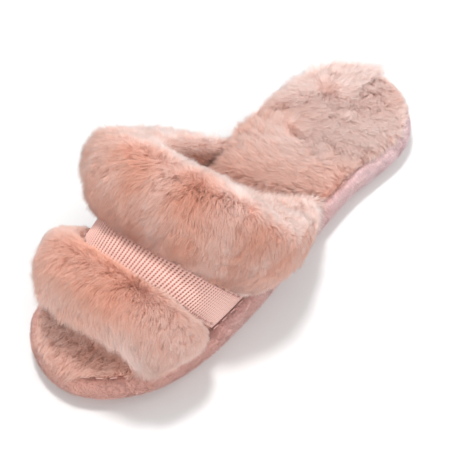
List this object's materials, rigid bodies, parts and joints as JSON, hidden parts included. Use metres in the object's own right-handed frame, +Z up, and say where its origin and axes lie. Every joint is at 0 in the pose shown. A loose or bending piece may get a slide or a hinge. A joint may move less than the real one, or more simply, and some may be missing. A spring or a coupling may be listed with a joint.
{
  "type": "fluffy house slipper",
  "caption": "Open-toe, open-back slide slipper with a plush footbed, a padded sole edge and a wide upper of two stuffed fur rolls joined by a knitted band.",
  "frame": {"origin": "on the ground under the middle of the sole, at the outsole's flat bottom face", "axes": "+Z up, toe towards -Y, heel towards +Y, wearer's left (the outer side of this left-foot slipper) towards +X"},
  "size_m": [0.0984, 0.255, 0.0846],
  "materials": {
    "outsole_rubber": "matt moulded rubber",
    "sole_foam": "closed-cell foam",
    "board": "plain fibre board",
    "padding": "soft padding",
    "velour": "brushed velour",
    "plush": "short plush pile",
    "fur": "long soft faux fur",
    "knit": "ribbed openwork knit",
    "thread": "sewing thread"
  },
  "bodies": {
    "root": {"outsole": "outsole_rubber", "midsole": "sole_foam", "side_wrap": "velour", "insole_board": "board", "footbed_pad": "padding", "footbed_plush": "plush", "upper_lining": "plush", "upper_foam": "padding", "knit_band": "knit", "front_fur_roll": "fur", "front_roll_filling": "padding", "rear_fur_collar": "fur", "rear_collar_filling": "padding", "edge_seam_thread": "thread", "front_band_thread": "thread", "rear_band_thread": "thread"}
  },
  "joints": []
}
